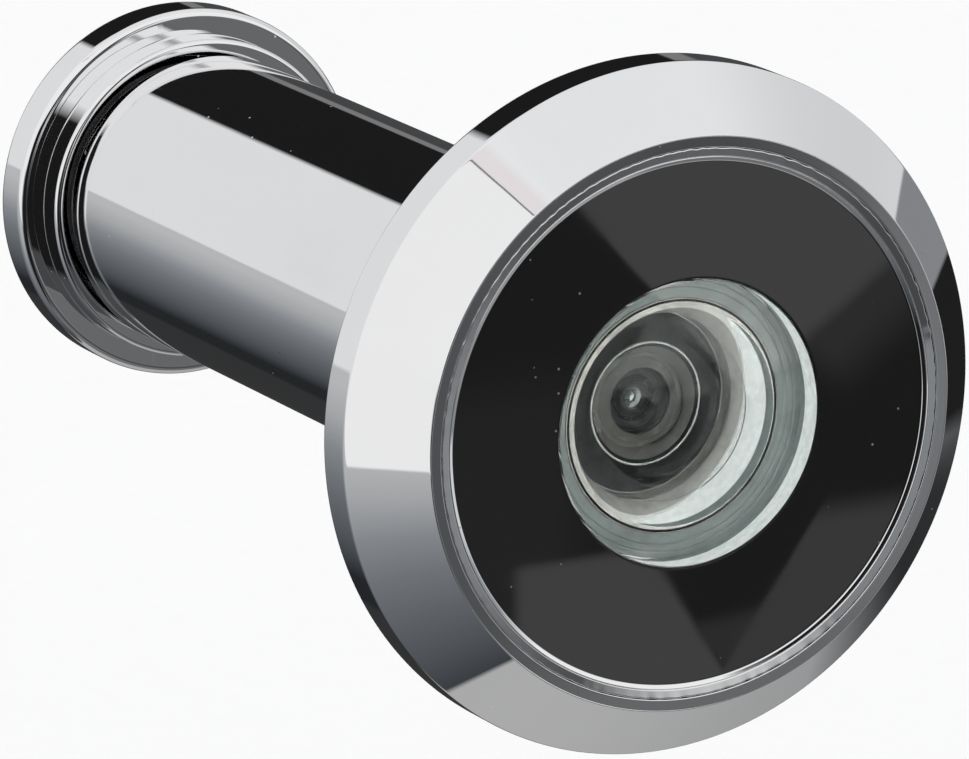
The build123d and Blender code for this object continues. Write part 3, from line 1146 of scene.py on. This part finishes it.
# ---------------------------------------------------------------- floor, light and camera
@dataclass(frozen=True)
class PaperFloor(Finish):
    """Matt white studio paper with the faintest tooth."""

    def draw(self, shader: Shader) -> None:
        """Draw the paper.

        Args:
            shader: adds nodes to the material.
        """
        tooth = shader.noise(shader.place(), 900.0, 3.0)
        colour = shader.blend(tooth, (0.95, 0.95, 0.95, 1.0), (0.93, 0.93, 0.93, 1.0))
        shader.surface(Base_Color=colour, Roughness=0.9)


@dataclass(frozen=True)
class PaleCard:
    """A pale shape that the flat front shows, bounded by straight soft edges.

    Each edge is (a, b, c, soft): the shape lies where a u + b v + c is above zero, and fades
    over soft mm on either side of that line.
    """

    strength: float
    edges: tuple[tuple[float, float, float, float], ...]

    def share(self, shader: Shader, u: Socket, v: Socket) -> Socket:
        """How much of the card is seen.

        Args:
            shader: the world's nodes.
            u: place across the flat front in mm.
            v: place up the flat front in mm.

        Returns:
            The card's strength inside its edges and 0 outside.
        """
        m, inside = shader.maths, []
        for a, b, c, soft in self.edges:
            line = m("MULTIPLY_ADD", u, a, m("MULTIPLY_ADD", v, b, c))
            inside.append(shader.span(line, -soft, soft, soft=True))
        return m("MULTIPLY", shader.all_of(*inside), self.strength)


PALE_CARDS = (
    PaleCard(1.0, ((0.744, 0.668, -2.73, 0.12), (-0.572, 0.820, 0.907, 0.7))),
    PaleCard(1.0, ((0.0, -1.0, -5.25, 0.35), (1.0, 0.0, 8.4, 0.5), (-0.851, -0.525, -4.37, 0.25))),
    PaleCard(0.72, ((0.808, -0.589, -7.95, 0.15), (0.0, -1.0, -4.6, 0.8))),
    PaleCard(0.36, ((0.744, 0.668, -6.0, 1.0), (-0.572, 0.820, 3.3, 1.6))),
    PaleCard(0.36, ((0.1, -1.0, -9.0, 0.5), (0.851, 0.525, 4.3, 0.2))),
    PaleCard(0.16, ((-1.0, 0.0, -5.4, 1.6), (0.0, -1.0, 2.5, 2.0))),
)


@dataclass
class Studio:
    """Pale floor, soft surrounding light with dark cards for the chrome, and the camera."""

    floor_drop: float = 45.0
    floor_half: float = 1500.0
    floor_squares: int = 24
    soft_light: float = 1.12
    soft_light_in_glass: float = 4.6
    azimuth: float = -28.05
    elevation: float = 14.57
    distance: float = 386.8
    aside: float = 7.54
    below: float = 1.32
    focal_length: float = 335.07

    def build(self) -> None:
        """Build the floor, the light and the camera."""
        self.floor()
        self.light()
        self.camera()

    def floor(self) -> None:
        """A flat floor of a plain grid of squares, well under the viewer."""
        row = self.floor_squares + 1
        steps = np.linspace(-self.floor_half, self.floor_half, row) * MM
        x, y = np.meshgrid(steps, steps, indexing="ij")
        places = np.stack([x, y, np.full_like(x, -self.floor_drop * MM)], -1).reshape(-1, 3)
        i, j = np.meshgrid(np.arange(row - 1), np.arange(row - 1), indexing="ij")
        first = i * row + j
        faces = np.stack([first, first + row, first + row + 1, first + 1], -1).reshape(-1, 4)
        mesh = bpy.data.meshes.new("studio_floor")
        mesh.from_pydata(places.tolist(), [], faces.tolist())
        mesh.materials.append(PaperFloor("studio_paper").material())
        floor = bpy.data.objects.new("studio_floor", mesh)
        bpy.context.scene.collection.objects.link(floor)
        floor.visible_glossy = False
        floor.visible_transmission = False
        LOG.info("floor: %.0f mm under the axis", self.floor_drop)

    def light(self) -> None:
        """Light from all round: plain white for matt things, cards and panels for mirrors."""
        world = bpy.data.worlds.new("studio")
        bpy.context.scene.world = world
        world.use_nodes = True
        shader = Shader(world.node_tree)
        way = shader.split(shader.node("TexCoord").outputs["Generated"])
        mirrored = self.rear_cards(shader, way, self.room(shader, way))
        mirror = shader.node("Background")
        shader.feed(mirror.inputs[0], self.front_cards(shader, way, mirrored))
        soft = shader.node("Background")
        soft.inputs[0].default_value = (1.0, 1.0, 1.0, 1.0)
        seen = shader.node("LightPath")
        matt = shader.maths("MINIMUM", seen.outputs["Diffuse Depth"], 1.0)
        through = shader.maths("MULTIPLY", matt, seen.outputs["Transmission Depth"])
        lamp = shader.span(through, 0.0, 1.0, self.soft_light, self.soft_light_in_glass)
        shader.feed(soft.inputs[1], lamp)
        matt = shader.largest(seen.outputs["Is Camera Ray"], matt)
        choose = shader.node("MixShader")
        for key, item in ((0, matt), (1, mirror.outputs[0]), (2, soft.outputs[0])):
            shader.feed(choose.inputs[key], item)
        out = shader.node("OutputWorld")
        shader.feed(out.inputs[0], choose.outputs[0])
        LOG.info("light: soft surround with cards")

    def room(self, shader: Shader, way: Sequence[Socket]) -> Socket:
        """The white tent above, the shaded paper on the left and the table below.

        Args:
            shader: the world's nodes.
            way: the three parts of the direction looked in.

        Returns:
            The colour seen in that direction.
        """
        x, y, z = way
        m, span, mix, all_of = shader.maths, shader.span, shader.blend, shader.all_of
        panel = mix(span(x, -0.40, -0.15, soft=True), grey(0.93), grey(0.87, 0.015))
        panel = mix(span(x, 0.55, 0.95, soft=True), panel, grey(0.70, 0.02))
        panel = mix(span(y, 0.20, 0.60, soft=True), panel, grey(0.80, 0.015))
        ahead = span(y, 0.1, 0.0)
        side = m("MULTIPLY_ADD", z, 0.5, m("MULTIPLY_ADD", y, 0.14, m("MULTIPLY_ADD", x, 0.85, -0.058)))
        side = m("MULTIPLY_ADD", shader.noise(shader.place(), 30.0, 3.0), 0.006, m("SUBTRACT", side, 0.003))
        flush = all_of(span(side, 0.0, 0.006), span(side, 0.11, 0.06), ahead)
        panel = mix(m("MULTIPLY", flush, 0.6), panel, (0.80, 0.72, 0.74, 1.0))
        seam = all_of(span(m("ABSOLUTE", side), 0.0055, 0.003), ahead)
        panel = mix(m("MULTIPLY", seam, 0.85), panel, grey(0.05))

        slope = m("ARCTAN2", m("MULTIPLY", z, -1.0), m("MULTIPLY", x, -1.0))
        slope = m("ADD", m("DIVIDE", slope, math.pi / 2), span(y, 0.1, 0.5, 0.0, 0.09))
        ramp = shader.node("ValToRGB")
        shader.feed(ramp.inputs[0], slope)
        stops = ((0.18, 0.53, 0.01), (0.30, 0.43, 0.03), (0.42, 0.28, 0.07), (0.53, 0.20, 0.09),
                 (0.65, 0.145, 0.11), (0.78, 0.095, 0.12), (0.94, 0.022, 0.12))
        while len(ramp.color_ramp.elements) < len(stops):
            ramp.color_ramp.elements.new(0.5)
        for stop, (at, value, blue) in zip(ramp.color_ramp.elements, stops):
            stop.position, stop.color = at, grey(value, blue)
        height = m("ADD", m("MULTIPLY_ADD", y, -0.228, z), 0.226)
        seen = mix(span(height, 0.006, -0.006), panel, ramp.outputs[0])
        table = mix(span(z, -1.0, -0.3), grey(0.46), grey(0.27, 0.02))
        return mix(all_of(span(x, -0.21, -0.19), span(z, -0.275, -0.30), span(y, 0.62, 0.54)), seen, table)

    def rear_cards(self, shader: Shader, way: Sequence[Socket],
                   seen: Socket) -> Socket:
        """Dark cards behind on the right, and a strip card on the right.

        Args:
            shader: the world's nodes.
            way: the three parts of the direction looked in.
            seen: the colour without the cards.

        Returns:
            The colour with them.
        """
        x, y, z = way
        span, mix, all_of = shader.span, shader.blend, shader.all_of
        card = mix(span(z, -0.085, -0.095), grey(0.26, 0.05), grey(0.014))
        side = all_of(span(x, 0.55, 0.60), span(y, 0.24, 0.28), span(z, 0.125, 0.115), span(z, -0.30, -0.28))
        seen = mix(side, seen, card)
        back = mix(span(z, 0.165, 0.175), grey(0.20), grey(0.012))
        back = mix(span(z, 0.11, 0.09), back, grey(0.062, 0.04))
        back = mix(span(z, -0.15, -0.40), back, grey(0.035, 0.03))
        return mix(all_of(span(y, 0.60, 0.66), span(x, -0.035, -0.005)), seen, back)

    def front_cards(self, shader: Shader, way: Sequence[Socket],
                    seen: Socket) -> Socket:
        """What the flat front shows: a dark studio with soft pale shapes, and the camera.

        The pale shapes are drawn in u and v, which are the place in mm where a flat front would
        show that direction to the camera: the camera's own place plus the direction stretched
        by the camera's distance from the front.

        Args:
            shader: the world's nodes.
            way: the three parts of the direction looked in.
            seen: the colour without the cards.

        Returns:
            The colour with them.
        """
        x, y, z = way
        m, span, mix, all_of = shader.maths, shader.span, shader.blend, shader.all_of
        reach = m("DIVIDE", 324.0, shader.largest(m("MULTIPLY", y, -1.0), 0.3))
        u = m("MULTIPLY_ADD", reach, x, -182.5)
        v = m("MULTIPLY_ADD", reach, z, 98.6)
        pale = shader.largest(*(card.share(shader, u, v) for card in PALE_CARDS))
        off = m("SQRT", m("MULTIPLY_ADD", u, u, m("MULTIPLY", v, v)))
        pale = all_of(pale, span(off, 16.0, 13.0))
        front = mix(span(x, 0.42, 0.33), grey(0.15, 0.03), grey(0.25, 0.06))
        front = mix(span(x, 0.50, 0.54), front, grey(0.09, 0.06))
        front = mix(span(z, -0.31, -0.34), front, grey(0.07, 0.06))
        front = mix(span(x, 0.62, 0.82, soft=True), front, grey(0.32, 0.05))
        front = mix(span(z, -0.45, -0.62, soft=True), front, grey(0.17, 0.04))
        front = mix(span(z, 0.02, 0.12), front, grey(0.95))
        beside = all_of(span(m("MULTIPLY_ADD", z, -0.6, x), 0.20, 0.14), span(z, 0.38, 0.30))
        front = mix(all_of(beside, span(y, -0.60, -0.66)), front, grey(0.012))
        front = mix(pale, front, grey(1.05))
        return mix(span(y, -0.43, -0.47), seen, front)

    def camera(self) -> None:
        """A long lens aimed beside the front flange's rim."""
        turn, lift = math.radians(self.azimuth), math.radians(self.elevation)
        level = math.cos(lift)
        ahead = np.array([-math.sin(turn) * level, math.cos(turn) * level, -math.sin(lift)])
        right = np.array([math.cos(turn), math.sin(turn), 0.0])
        up = np.cross(right, ahead)
        aim = np.array([0.0, -1.92, 0.0]) - self.aside * right + self.below * up
        place = (aim - self.distance * ahead) * MM
        data = bpy.data.cameras.new("camera")
        data.lens, data.sensor_width = self.focal_length, 36.0
        data.clip_start, data.clip_end = 0.01, 20.0
        camera = bpy.data.objects.new("camera", data)
        bpy.context.scene.collection.objects.link(camera)
        camera.location = place.tolist()
        camera.rotation_euler = (math.pi / 2 - lift, 0.0, turn)
        bpy.context.scene.camera = camera
        bpy.context.scene.view_settings.view_transform = "Standard"
        LOG.info("camera: %.1f mm from the flange", self.distance)


def grey(value: float, blue: float = 0.0) -> tuple[float, float, float, float]:
    """A neutral or slightly blue colour of that brightness."""
    return (value * (1.0 - blue), value * (1.0 - blue * 0.3), value * (1.0 + blue * 0.6), 1.0)


def main() -> None:
    """Build every sub-assembly, then the studio."""
    logging.basicConfig(level=logging.INFO, format="%(name)s %(message)s")
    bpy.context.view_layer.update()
    for part in (FrontFlange(), Barrel(), Objective(), EyepieceOptics(), RearUnit(), Studio()):
        part.build()


if __name__ == "__main__":
    main()
